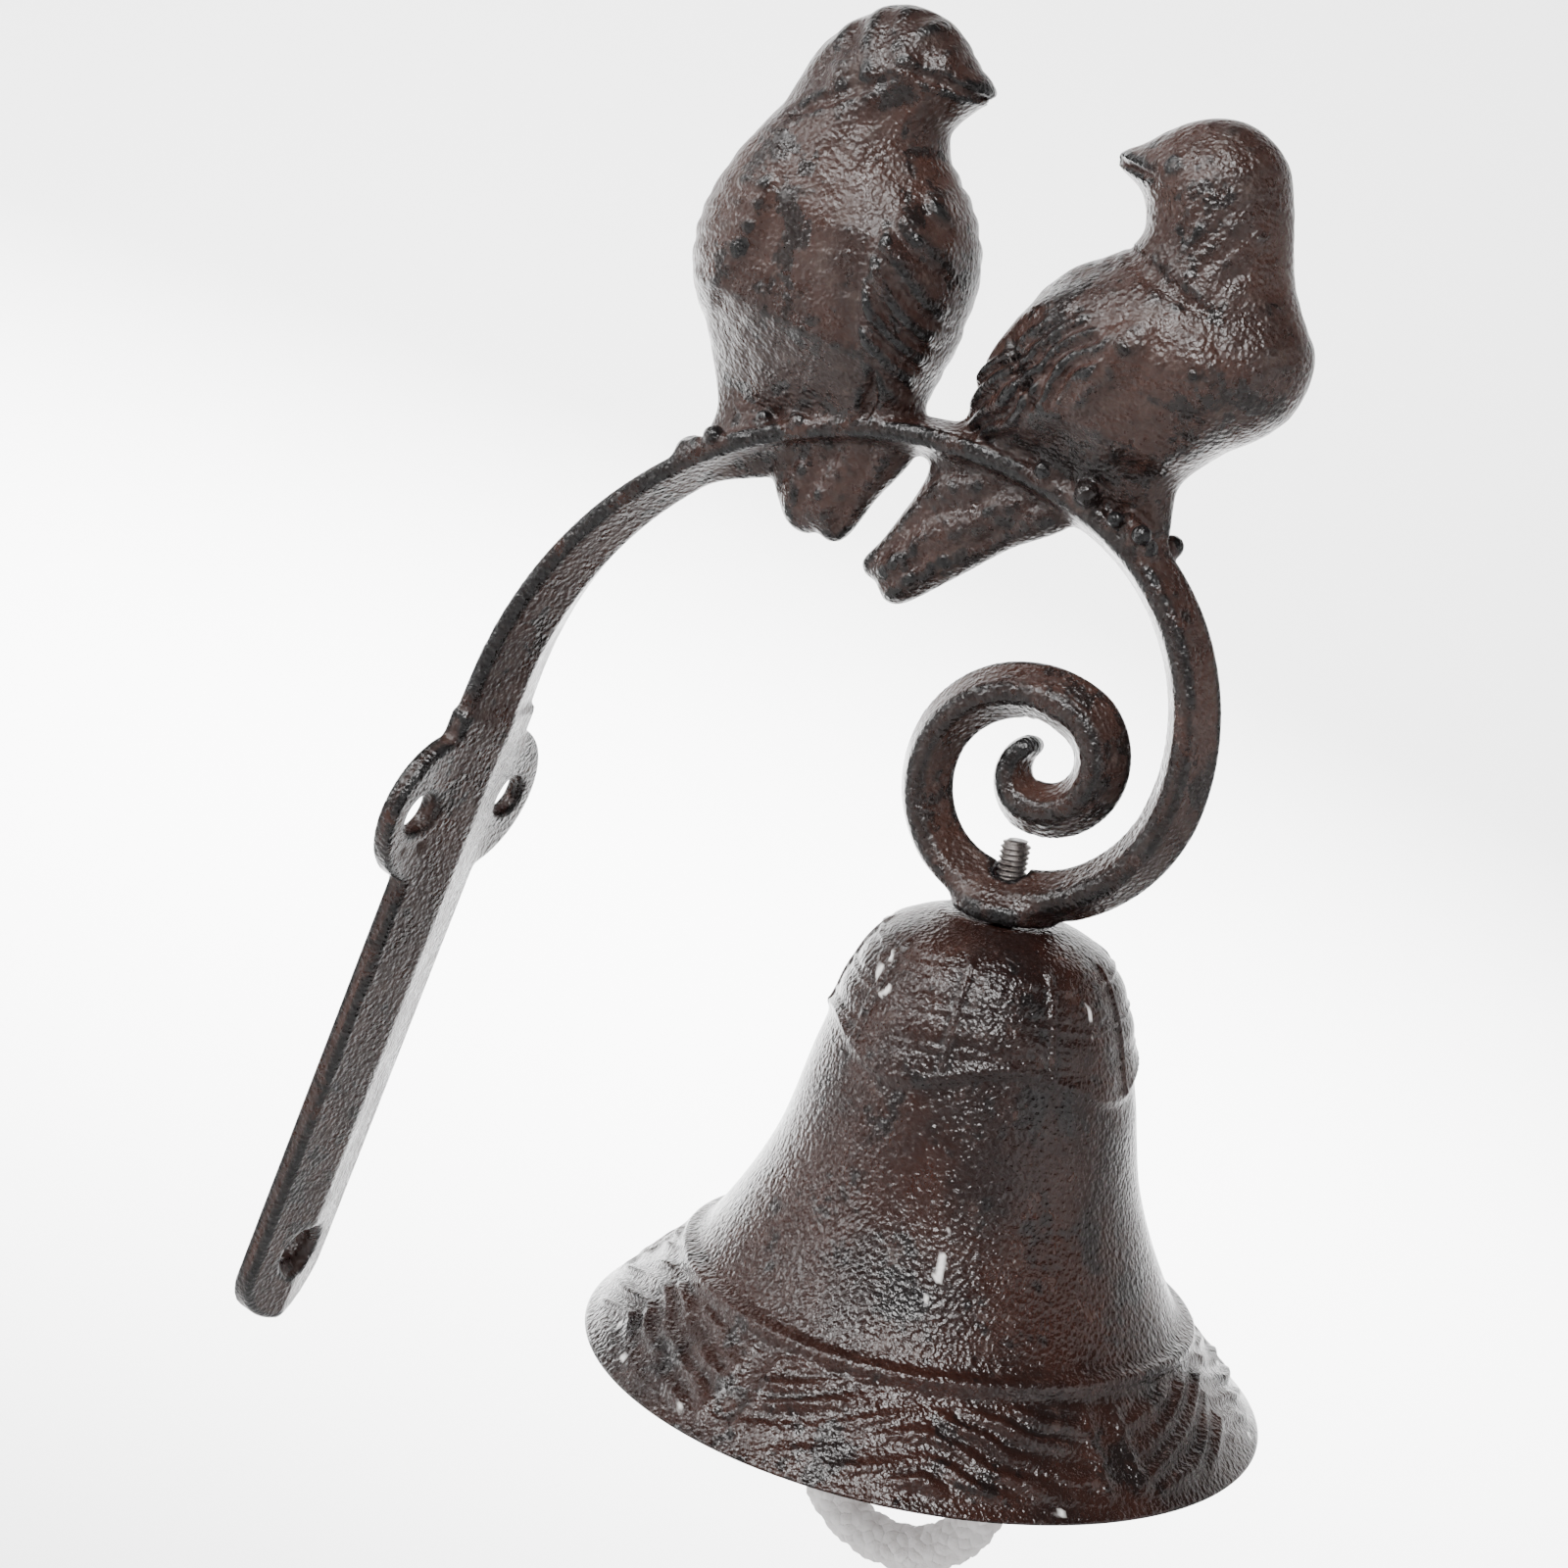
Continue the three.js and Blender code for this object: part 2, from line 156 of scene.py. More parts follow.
def make_floor():
    """A pale round floor that curves up into a wall all round, so no horizon shows."""
    height = CAD_BOX[0][2] - 0.30
    flat, bend, wall = 2.0, 0.9, 2.6
    curve = np.linspace(0, math.pi / 2, 12)
    profile = [(0.02, height)]
    profile += [(flat + bend * math.sin(turn), height + bend * (1 - math.cos(turn))) for turn in curve]
    profile.append((flat + bend, wall))
    sides = 96
    angle = np.arange(sides) * 2 * math.pi / sides
    points = [(radius * math.cos(turn), radius * math.sin(turn), level)
              for radius, level in profile for turn in angle]
    faces = [tuple(range(sides)), *ring_faces(len(profile), sides)]
    mesh = bpy.data.meshes.new("floor")
    mesh.from_pydata(points, [], faces)
    mesh.shade_smooth()
    floor = bpy.data.objects.new("floor", mesh)
    bpy.context.scene.collection.objects.link(floor)
    material = bpy.data.materials.new("floor_paint")
    material.use_nodes = True
    shader = material.node_tree.nodes["Principled BSDF"]
    shader.inputs["Base Color"].default_value = (0.82, 0.82, 0.82, 1)
    shader.inputs["Roughness"].default_value = 0.9
    mesh.materials.append(material)


# ------------------------------------------------------------------ small helpers
def ring_faces(rings, sides, closed=False):
    """Quads between neighbouring rings of points, and from the last ring to the first if closed."""
    faces = []
    for ring in range(rings if closed else rings - 1):
        this, following = ring * sides, (ring + 1) % rings * sides
        for side in range(sides):
            after = (side + 1) % sides
            faces.append((this + side, this + after, following + after, following + side))
    return faces


def cap_faces(rings, sides):
    """The two faces that close a tube at its first and last ring."""
    return [tuple(range(sides))[::-1], tuple(range((rings - 1) * sides, rings * sides))]


def make_piece(name, points, faces, material, body):
    """A mesh object from points in mm, riding on a CAD body."""
    mesh = bpy.data.meshes.new(name)
    mesh.from_pydata((np.asarray(points) * MM).tolist(), [], [tuple(map(int, face)) for face in faces])
    mesh.update()
    mesh.shade_smooth()
    mesh.materials.append(material)
    item = bpy.data.objects.new(name, mesh)
    bpy.context.scene.collection.objects.link(item)
    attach(item, body)
    return item


def set_attribute(item, name, values):
    attribute = item.data.attributes.new(name, "FLOAT", "POINT")
    attribute.data.foreach_set("value", np.asarray(values, dtype=np.float32))


def mark_ridges(item, soft, sharp, passes):
    """Stores how convex the surface is at each point as "edge": 0 on flats, 1 along sharp ridges."""
    mesh = item.data
    count = len(mesh.vertices)
    points, normals = np.empty(count * 3), np.empty(count * 3)
    mesh.vertices.foreach_get("co", points)
    mesh.vertices.foreach_get("normal", normals)
    ends = np.empty(len(mesh.edges) * 2, dtype=np.int32)
    mesh.edges.foreach_get("vertices", ends)
    points, normals = points.reshape(-1, 3), normals.reshape(-1, 3)
    first, second = ends.reshape(-1, 2).T
    run = points[first] - points[second]
    length = np.sum(run ** 2, axis=1) + 1e-12

    def spread(at_first, at_second):
        return np.bincount(first, at_first, count) + np.bincount(second, at_second, count)

    neighbours = spread(np.ones(len(run)), np.ones(len(run)))
    bend = spread(np.sum(normals[first] * run, axis=1) / length,
                  -np.sum(normals[second] * run, axis=1) / length) / neighbours
    for _ in range(passes):
        bend = (bend + spread(bend[second], bend[first]) / neighbours) / 2
    set_attribute(item, "edge", smoothstep(soft, sharp, bend))


def in_bell(across, y, depth):
    """Points in the part's frame from the bell's own: across its axis, sideways, and down from its crown."""
    cosine, sine = math.cos(BELL_TILT), math.sin(BELL_TILT)
    across, y, depth = np.broadcast_arrays(across, y, depth)
    return np.stack([BELL_TOP[0] + across * cosine + depth * sine,
                     BELL_TOP[1] + y,
                     BELL_TOP[2] + across * sine - depth * cosine], axis=-1)


def to_bell(x, z):
    """Across and depth in the bell's own frame for x and z in the part's frame."""
    cosine, sine = math.cos(BELL_TILT), math.sin(BELL_TILT)
    return ((x - BELL_TOP[0]) * cosine + (z - BELL_TOP[2]) * sine,
            (x - BELL_TOP[0]) * sine - (z - BELL_TOP[2]) * cosine)


def smoothstep(low, high, value):
    share = np.clip((value - low) / (high - low), 0, 1)
    return share * share * (3 - 2 * share)


def smooth_min(a, b, radius):
    share = np.clip(0.5 + 0.5 * (b - a) / radius, 0, 1)
    return b + (a - b) * share - radius * share * (1 - share)


def smooth_max(a, b, radius):
    return -smooth_min(-a, -b, radius)


def closed_curve(points, per_span=6):
    """A smooth closed curve through a few outline points."""
    points = np.asarray(points, dtype=float)
    before, after, beyond = (np.roll(points, shift, axis=0) for shift in (1, -1, -2))
    spans = []
    for share in np.arange(per_span) / per_span:
        spans.append(0.5 * (2 * points + (after - before) * share
                            + (2 * before - 5 * points + 4 * after - beyond) * share ** 2
                            + (3 * points - before - 3 * after + beyond) * share ** 3))
    return np.stack(spans, axis=1).reshape(-1, 2)


def depth_inside(x, z, outline):
    """How far each point lies inside a closed outline; outside it is negative."""
    nearest = np.full(x.shape, np.inf)
    inside = np.zeros(x.shape, dtype=bool)
    for (ax, az), (bx, bz) in zip(outline, np.roll(outline, -1, axis=0)):
        run_x, run_z = bx - ax, bz - az
        share = np.clip(((x - ax) * run_x + (z - az) * run_z) / (run_x ** 2 + run_z ** 2 + 1e-9), 0, 1)
        nearest = np.minimum(nearest, (x - ax - share * run_x) ** 2 + (z - az - share * run_z) ** 2)
        if az != bz:
            crosses = (az > z) != (bz > z)
            inside ^= crosses & (x < ax + (z - az) / (bz - az) * run_x)
    return np.where(inside, 1, -1) * np.sqrt(nearest)


def blur(values, passes):
    for _ in range(passes):
        for axis in (0, 1):
            padded = np.pad(values, [(1, 1) if side == axis else (0, 0) for side in (0, 1)], mode="edge")
            first, middle, last = (np.take(padded, range(start, start + values.shape[axis]), axis=axis)
                                   for start in (0, 1, 2))
            values = (first + 2 * middle + last) / 4
    return values


def soft_noise(x, z, spacing, seed):
    """Smooth random values between about -1 and 1 over a plane, one wave every few spacings."""
    source = np.random.default_rng(seed)
    total = np.zeros(np.broadcast_shapes(x.shape, z.shape))
    for _ in range(9):
        heading, phase = source.uniform(0, 2 * math.pi, 2)
        stretch = source.uniform(0.6, 1.6) / spacing
        along = x * math.cos(heading) + z * math.sin(heading)
        total = total + np.sin(2 * math.pi * stretch * along + phase)
    return total / 4


def blob(x, z, centre, radii, lean=0.0):
    """1 in the middle of a leaning ellipse, falling smoothly to 0 outside it."""
    cosine, sine = math.cos(math.radians(lean)), math.sin(math.radians(lean))
    along = ((x - centre[0]) * cosine + (z - centre[1]) * sine) / radii[0]
    across = ((z - centre[1]) * cosine - (x - centre[0]) * sine) / radii[1]
    return 1 - smoothstep(0.75, 1.1, np.sqrt(along ** 2 + across ** 2))


def grooves(x, z, lean, spacing, waviness=0.0):
    """Ridges from 0 to 1 that run along a direction, with sharp valleys between them."""
    heading = math.radians(lean)
    across = z * math.cos(heading) - x * math.sin(heading)
    along = x * math.cos(heading) + z * math.sin(heading)
    wave = waviness * np.sin(along / (2.1 * spacing)) + 0.3 * spacing * soft_noise(x, z, 6 * spacing, 11)
    return np.abs(np.sin(math.pi * (across + wave) / spacing))


# ------------------------------------------------------------------ surface of a sampled solid
def surface_nets(field, origin, step):
    """Points and quads around the zero level of a field that is negative inside the solid."""
    inside = field < 0
    counts = np.zeros([size - 1 for size in field.shape], dtype=np.int8)
    corners = [(i, j, k) for i in (0, 1) for j in (0, 1) for k in (0, 1)]
    for i, j, k in corners:
        counts += inside[i:i + counts.shape[0], j:j + counts.shape[1], k:k + counts.shape[2]]
    cells = np.argwhere((counts > 0) & (counts < 8))
    ids = np.full(counts.shape, -1, dtype=np.int32)
    ids[tuple(cells.T)] = np.arange(len(cells))
    values = np.stack([field[tuple((cells + corner).T)] for corner in corners], axis=1)
    total = np.zeros((len(cells), 3))
    hits = np.zeros(len(cells))
    for first, start in enumerate(corners):
        for axis in range(3):
            if start[axis]:
                continue
            end = tuple(value + (side == axis) for side, value in enumerate(start))
            second = corners.index(end)
            a, b = values[:, first], values[:, second]
            crossing = (a < 0) != (b < 0)
            share = np.where(crossing, a / np.where(crossing, a - b, 1), 0)
            place = np.asarray(start, dtype=float)[None, :] + share[:, None] * np.eye(3)[axis]
            total += place * crossing[:, None]
            hits += crossing
    points = np.asarray(origin) + (cells + total / hits[:, None]) * step
    faces = []
    for axis in range(3):
        side, other = (axis + 1) % 3, (axis + 2) % 3
        low = np.take(inside, range(inside.shape[axis] - 1), axis=axis)
        high = np.take(inside, range(1, inside.shape[axis]), axis=axis)
        edges = np.argwhere(low != high)
        edges = edges[(edges[:, side] > 0) & (edges[:, other] > 0)
                      & (edges[:, side] < ids.shape[side]) & (edges[:, other] < ids.shape[other])]
        leaving = low[tuple(edges.T)]
        ring = []
        for back_side, back_other in ((0, 0), (1, 0), (1, 1), (0, 1)):
            cell = edges.copy()
            cell[:, side] -= back_side
            cell[:, other] -= back_other
            ring.append(ids[tuple(cell.T)])
        quads = np.stack(ring, axis=1)
        quads[~leaving] = quads[~leaving][:, ::-1]
        faces.append(quads)
    return points, np.concatenate(faces)


# ------------------------------------------------------------------ bracket: strap, plate, pad
def strap_spans():
    """The arcs of the strap's middle line, each starting where the last one ends."""
    x, z, start = STRAP_MIDDLE_X, ARCH_START_Z, math.pi
    spans = []
    for radius, end_degrees in STRAP_ARCS:
        end = math.radians(end_degrees)
        centre_x, centre_z = x - radius * math.cos(start), z - radius * math.sin(start)
        spans.append((centre_x, centre_z, radius, start, end))
        x, z, start = centre_x + radius * math.cos(end), centre_z + radius * math.sin(end), end
    return spans


def along_strap(x, z):
    """Offset from the strap's middle line, positive towards its inner side, and length run along it."""
    foot_run = np.clip(z - ARCH_START_Z + STRAP_FOOT, 0, STRAP_FOOT)
    offset = x - STRAP_MIDDLE_X + 0 * z
    best = np.hypot(offset, z - ARCH_START_Z + STRAP_FOOT - foot_run)
    station = foot_run + 0 * x
    offset = np.where(best > np.abs(offset) + 1e-6, best, offset)
    run = STRAP_FOOT
    for centre_x, centre_z, radius, start, end in strap_spans():
        turn = np.mod(start - np.arctan2(z - centre_z, x - centre_x) + math.pi / 2, 2 * math.pi) - math.pi / 2
        turn = np.clip(turn, 0, start - end)
        gap = np.hypot(x - centre_x - radius * np.cos(start - turn),
                       z - centre_z - radius * np.sin(start - turn))
        signed = np.where(np.hypot(x - centre_x, z - centre_z) > radius, -gap, gap)
        closer = gap < best
        best = np.where(closer, gap, best)
        offset = np.where(closer, signed, offset)
        station = np.where(closer, run + radius * turn, station)
        run += radius * (start - end)
    return offset, station


def strap_section(station):
    """Inner ridge, outer ridge and half width at lengths along the strap."""
    runs, *columns = zip(*STRAP_SECTIONS)
    return (np.interp(station, runs, column) for column in columns)


def strap_field(x, y, z):
    """The strap's solid: a bar with a ridge along its inner and outer sides and narrow flanks."""
    offset, station = along_strap(x, z)
    sections = (offset, *strap_section(station))
    offset, inner, outer, half_width = (value[:, None, :] for value in sections)
    share = np.abs(y) / half_width
    inner_limit = inner + (STRAP_FLANK - inner) * share
    outer_limit = outer + (STRAP_FLANK - outer) * share
    tilt = np.sqrt(1 + ((inner - STRAP_FLANK) / half_width) ** 2)
    through = np.maximum(offset - inner_limit, -offset - outer_limit) / tilt
    return smooth_max(through, np.abs(y) - half_width, 0.8)


def plate_field(x, y, z):
    """The plate with its two lugs and round lower end; its face has a ridge down the middle."""
    end_z = PLATE_BOTTOM + PLATE_HALF_WIDTH
    shaft = np.maximum(np.hypot(y, np.minimum(z - end_z, 0)) - PLATE_HALF_WIDTH, z - PLATE_TOP)
    lugs = np.hypot(np.abs(y) - LUG_CENTRE_Y, z) - LUG_RADIUS
    fall = (PLATE_CREST - PLATE_EDGE) / PLATE_HALF_WIDTH
    face = x - smooth_max(PLATE_CREST - fall * np.abs(y), PLATE_EDGE + 0 * y, 0.6)
    return smooth_max(face, smooth_min(shaft, lugs, 1.0), 0.9)


def cut_holes(field, x, y, z):
    for hole_y, hole_z in SCREW_HOLES:
        sink = 0.9 * np.clip(x - 2.4, 0, 1.4)
        field = smooth_max(field, SCREW_HOLE_RADIUS + sink - np.hypot(y - hole_y, z - hole_z), 0.4)
    for dent_y, dent_z in ((-12.4, -5.6), (-8.6, -5.2)):
        dent = np.sqrt((x - 3.6) ** 2 + (y - dent_y) ** 2 + (z - dent_z) ** 2) - 1.1
        field = smooth_max(field, -dent, 0.5)
    return field


def pad_field(x, y, z):
    """The flat under the scroll that the bell is bolted against."""
    across, depth = to_bell(x, z)
    radial = np.hypot(across, y) - PAD_RADIUS
    slab = np.abs(depth + 0.3 + PAD_HEIGHT / 2) - PAD_HEIGHT / 2
    return smooth_max(radial, slab, 0.8)


def clear_bell_seat(field, x, y, z):
    """Cuts the bolt's hole and everything that would stand in the bell's crown."""
    across, depth = to_bell(x, z)
    radial = np.hypot(across, y)
    hole = np.maximum(radial - BOLT_HOLE_RADIUS, -(depth - BOLT_TIP))
    below = np.maximum(radial - 14, -(depth + 0.3))
    return np.maximum(field, -np.minimum(hole, below))


# ------------------------------------------------------------------ bracket: birds
LEFT_BIRD = [
    (17, 58), (16.5, 67), (14.5, 71), (12, 75), (8, 82), (5.8, 90), (7, 98), (10, 108), (10.8, 113),
    (12, 117), (15, 121), (19, 124.4), (24, 125.2), (28, 124.3), (32, 121.5), (35.6, 119.9),
    (35.8, 118.3), (34.6, 117.2), (32.8, 114.5), (31.7, 112), (33, 109.5), (37, 106.5), (40.5, 102.5),
    (42.5, 98), (43.4, 93), (43.5, 87), (43, 82), (43.5, 75), (36, 68)]
RIGHT_BIRD = [
    (47, 74.5), (48, 78), (49.6, 82), (50, 88), (51, 94), (52.5, 100), (55, 104.5), (59, 108),
    (61.5, 111), (61.3, 113.5), (59.5, 116), (57, 117.1), (53.9, 118), (54.7, 119.8), (57, 121.5),
    (59.5, 124.5), (63, 127.2), (67, 128.5), (71, 128), (74.5, 126), (77, 122), (79, 118), (81, 114),
    (84, 110.5), (87, 107.5), (88, 104), (87.5, 99), (85, 95), (82, 92), (80, 89), (78.5, 86),
    (79, 83.5), (80.5, 79), (79, 76.4), (66, 76.8)]
LEFT_TAIL = [
    (26, 74), (26.8, 66), (28.6, 62), (32, 58.6), (35, 58.2), (36.6, 59.4), (38.4, 58.8), (40.4, 60.2),
    (42, 66), (44, 76)]
RIGHT_TAIL = [
    (50, 79), (47.4, 70), (45.6, 63), (44, 58.8), (45.6, 57.2), (47, 57.4), (48.6, 55.7), (51.4, 56.2),
    (56.5, 62.3), (61.5, 68.8), (68, 77)]


def inflate(x, z, outline, fullness, reach, passes=8):
    """Half thickness squared of a pillowy body that fills an outline; negative outside it."""
    depth = depth_inside(x, z, closed_curve(outline))
    share = np.clip(np.abs(depth) / reach, 0, 1)
    return blur(np.sign(depth) * (1 - (1 - share) ** 2), passes) * fullness ** 2


def bird_field(y, squared, relief_near, relief_far):
    """Distance to an inflated body whose near and far sides carry their own relief."""
    relief = np.where(y < 0, relief_near[:, None, :], relief_far[:, None, :])
    half = np.sqrt(np.clip(squared, 0, None))[:, None, :]
    slope_x, slope_z = np.gradient(squared, BRACKET_STEP)
    slope = np.hypot(slope_x, slope_z)[:, None, :]
    level = y ** 2 - squared[:, None, :]
    distance = level / (np.sqrt(4 * y ** 2 + slope ** 2) + 0.5)
    return distance - relief * smoothstep(0.4, 3.0, half)


def left_bird_relief(x, z):
    left_wing = blob(x, z, (12.2, 93), (15, 6.4), 84)
    right_wing = blob(x, z, (39.6, 93.5), (14.5, 5.4), 99)
    back = 0.9 * left_wing + 1.0 * right_wing
    back += 0.95 * right_wing * (grooves(x, z, -38, 3.3, 0.9) - 0.75)
    back += 0.22 * left_wing * (grooves(x, z, 205, 3.3, 0.8) - 0.7)
    back += 0.12 * blob(x, z, (24, 80), (12, 7)) * (grooves(x, z, 88, 3.4, 0.8) - 0.6)
    back -= 0.9 * blob(x, z, (38.8, 79), (4.4, 0.8), 88)
    head = blob(x, z, (23, 117), (11, 9))
    back += 0.35 * head * soft_noise(x, z, 5, 3)
    back -= 0.8 * blob(x, z, (31, 118.2), (5.5, 0.7), 2)
    back += 0.4 * blob(x, z, (26.6, 118.6), (1.4, 1.4))
    back -= 0.5 * blob(x, z, (20.5, 112), (9, 0.9), 40)
    front = 0.3 * (grooves(x, z, 60, 3.2, 0.6) - 0.5) + 0.8 * blob(x, z, (24, 96), (13, 14))
    front += 0.4 * blob(x, z, (26.6, 118.6), (1.4, 1.4)) - 0.8 * blob(x, z, (31, 118.2), (5.5, 0.7), 2)
    noise = 0.08 * soft_noise(x, z, 3.2, 5)
    return back + noise, front + noise


def right_bird_relief(x, z):
    wing = blob(x, z, (60.5, 94.5), (16, 8.2), 52)
    primaries = blob(x, z, (54.5, 86.5), (9.5, 5.2), 50)
    coverts = blob(x, z, (61.5, 95), (7.5, 5.6), 52)
    side = 1.1 * wing
    side += 1.3 * primaries * (grooves(x, z, 49, 2.3, 0.3) - 0.65)
    side += 0.9 * coverts * (1 - primaries) * (grooves(x, z, 60, 2.4, 0.5) - 0.6)
    side -= 0.7 * blob(x, z, (57.8, 91.2), (5.2, 0.8), -38)
    side += 0.7 * blob(x, z, (74, 96), (10, 9), 60)
    side += 0.35 * blob(x, z, (64.0, 121.2), (1.4, 1.4))
    side -= 0.7 * blob(x, z, (57.5, 118.6), (4.5, 0.6), 4)
    side -= 0.5 * blob(x, z, (68, 108.5), (9, 1.2), -8)
    side += 0.3 * blob(x, z, (72, 112), (8, 8)) * (grooves(x, z, 88, 2.8, 0.5) - 0.5)
    return side + 0.08 * soft_noise(x, z, 3.2, 6)


def tail_relief(x, z, lean):
    return 0.65 * (grooves(x, z, lean, 4.2, 0.5) - 0.5) + 0.12 * soft_noise(x, z, 2.6, 8)


def birds_field(x, y, z):
    left_fullness = np.interp(z, [60, 71, 76, 84, 98, 108, 114, 126],
                              [3.2, 3.4, 6.5, 11.5, 12.5, 10.5, 9.4, 9.4])
    right_fullness = np.interp(z, [70, 79, 83, 89, 100, 107, 113, 129],
                               [3.0, 3.2, 6.0, 10.4, 11.5, 10, 9.2, 9.2])
    left = inflate(x, z, LEFT_BIRD, left_fullness, 13)
    right = inflate(x, z, RIGHT_BIRD, right_fullness, 13)
    back, front = left_bird_relief(x, z)
    side = right_bird_relief(x, z)
    field = smooth_min(bird_field(y, left, back, front), bird_field(y, right, side, side), 1.0)
    for outline, lean in ((LEFT_TAIL, 82), (RIGHT_TAIL, 50)):
        tail = inflate(x, z, outline, 3.1, 5, 4)
        relief = tail_relief(x, z, lean)
        field = smooth_min(field, bird_field(y, tail, relief, relief), 1.2)
    return field


def strap_place(run):
    """The point of the strap's outer ridge at a length along it."""
    done = STRAP_FOOT
    for centre_x, centre_z, radius, start, end in strap_spans():
        if run <= done + radius * (start - end):
            break
        done += radius * (start - end)
    _, outer, _ = strap_section(run)
    angle = start - (run - done) / radius
    return centre_x + (radius + outer) * math.cos(angle), centre_z + (radius + outer) * math.sin(angle)


def add_perch_lumps(field, x, y, z):
    """The rough twig-like lumps of casting round the birds' feet, on the strap's outer side."""
    for middle_run, spread, count in ((56, 5, 12), (68, 6, 9), (107, 4.5, 12), (118, 3, 8)):
        for _ in range(count):
            place_x, place_z = strap_place(middle_run + spread * RNG.uniform(-1, 1))
            place_y = RNG.uniform(-5.6, -2.4) * RNG.choice([1, -1], p=[0.7, 0.3])
            place_z += RNG.uniform(-1.2, 0.4)
            radius = RNG.uniform(0.9, 1.6)
            lump = np.sqrt((x - place_x) ** 2 + (y - place_y) ** 2 + (z - place_z) ** 2) - radius
            field = smooth_min(field, lump, 0.7)
    return field


def make_bracket(material):
    low, high = np.array([-1.0, -18.6, -88.6]), np.array([101.0, 18.6, 130.0])
    xs, ys, zs = (np.arange(low[axis], high[axis], BRACKET_STEP, dtype=np.float32) for axis in range(3))
    flat_x, flat_z = np.meshgrid(xs, zs, indexing="ij")
    x, y, z = xs[:, None, None], ys[None, :, None], zs[None, None, :]
    field = strap_field(flat_x, y, flat_z).astype(np.float32)
    field = smooth_min(field, plate_field(x, y, z), 1.0)
    field = smooth_min(field, pad_field(x, y, z), 1.6)
    field = smooth_min(field, birds_field(flat_x, y, flat_z).astype(np.float32), 1.2)
    field = add_perch_lumps(field, x, y, z)
    field = cut_holes(field, x, y, z)
    field = clear_bell_seat(field, x, y, z)
    field = np.maximum(field, -x).astype(np.float32)
    points, faces = surface_nets(field, low, BRACKET_STEP)
    bracket = make_piece("bracket", points, faces, material, "base")
    mark_ridges(bracket, 35, 180, 6)
    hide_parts("bracket_casting")


# ------------------------------------------------------------------ bell
def spline(points, count):
    """Evenly spread points on a smooth open curve through a few profile points."""
    points = np.asarray(points, dtype=float)
    padded = np.vstack([2 * points[0] - points[1], points, 2 * points[-1] - points[-2]])
    places = []
    for index in range(len(points) - 1):
        p0, p1, p2, p3 = padded[index:index + 4]
        for share in np.arange(20) / 20:
            places.append(0.5 * (2 * p1 + (p2 - p0) * share + (2 * p0 - 5 * p1 + 4 * p2 - p3) * share ** 2
                                 + (3 * p1 - p0 - 3 * p2 + p3) * share ** 3))
    places = np.array(places + [points[-1]])
    run = np.concatenate([[0], np.cumsum(np.linalg.norm(np.diff(places, axis=0), axis=1))])
    even = np.linspace(0, run[-1], count)
    return np.stack([np.interp(even, run, places[:, side]) for side in (0, 1)], axis=1)


BELL_OUTSIDE = [(8, 0.0), (13.4, 2.6), (17.6, 9), (20.9, 20), (24.3, 34), (30.8, 47), (38.4, 56), (45, 62)]
BELL_INSIDE = [(42.4, 62), (35.4, 56.6), (27.7, 48), (21.1, 35), (17.7, 20.5), (14.4, 9.6), (9, 3.6)]


def line(offset, width):
    """A rounded ridge 1 high along the line where the offset is zero."""
    return np.exp(-(offset / width) ** 2)


def crown_relief(angle, depth):
    """The net of thin raised lines over the crown, with a cushion in each mesh and a scalloped lower edge."""
    scallop = 16.6 + 1.9 * np.cos(4 * angle + 0.6)
    mask = 1 - smoothstep(scallop - 0.6, scallop + 0.3, depth)
    warped = depth + 0.5 * np.sin(4 * angle)
    meridian = (9 + 0.62 * depth) * np.sin(4.5 * angle) / 4.5
    parallel = (9 + 0.62 * depth) * np.sin(math.pi * warped / 4.6) / 6.2
    net = np.maximum(line(meridian, 0.4), line(parallel, 0.4))
    cushion = np.sqrt(np.abs(np.sin(4.5 * angle) * np.sin(math.pi * warped / 4.6)))
    return mask * smoothstep(1.5, 4, depth) * (0.6 * net + 0.7 * cushion) + 0.45 * line(depth - scallop, 0.6)


def skirt_relief(angle, depth):
    """Long leaf veins over the skirt, falling away to both sides of a few midribs."""
    sector = 2 * math.pi / 5
    turn = np.mod(angle - math.radians(295) + sector / 2, sector) - sector / 2
    sideways = np.abs(turn) * 40
    slant = 1.55 * (depth - 51) + 0.5 * np.sin(9 * angle) + 0.3 * np.sin(23 * angle + depth)
    vein = 0.5 + 0.5 * np.cos(2 * math.pi * (slant - 0.42 * sideways) / 3.4)
    leaf = 1 - smoothstep(20, 23.5, sideways)
    blotch = 0.55 + 0.45 * np.sin(5 * angle + 0.8 * depth) * np.sin(3 * angle - 0.5 * depth)
    skirt = smoothstep(51.2, 52.8, depth) * (1 - smoothstep(59.4, 61.0, depth))
    return skirt * (1.0 * vein ** 1.6 * leaf * blotch + 0.5 * line(sideways - 22.6, 0.9) + 0.3 * blotch)


def bell_relief(angle, depth):
    """Height of the cast ornament over the bell's outside, by angle round it and depth down it."""
    ring_depth = 50.3 + 0.35 * np.sin(3 * angle)
    return crown_relief(angle, depth) + 1.1 * line(depth - ring_depth, 0.9) + skirt_relief(angle, depth)


# White chips in the bell's lacquer, with two painted highlight specks at 290 and 292 degrees in the sheen
# down the bell's middle: angle round it in degrees, depth down it, and reach across and down.
CHIPS_AND_HIGHLIGHTS = [
    (238, 7.5, 2.0, 2.4), (247, 9.0, 1.0, 1.2), (338, 8.0, 1.0, 2.0), (292, 38, 0.9, 3.4),
    (290, 42, 0.5, 1.2), (251, 60.3, 1.6, 0.8), (222, 58.9, 0.9, 0.9), (232, 60.2, 1.0, 0.5),
    (15, 60.8, 0.9, 0.6), (318, 60.9, 0.9, 0.4)]


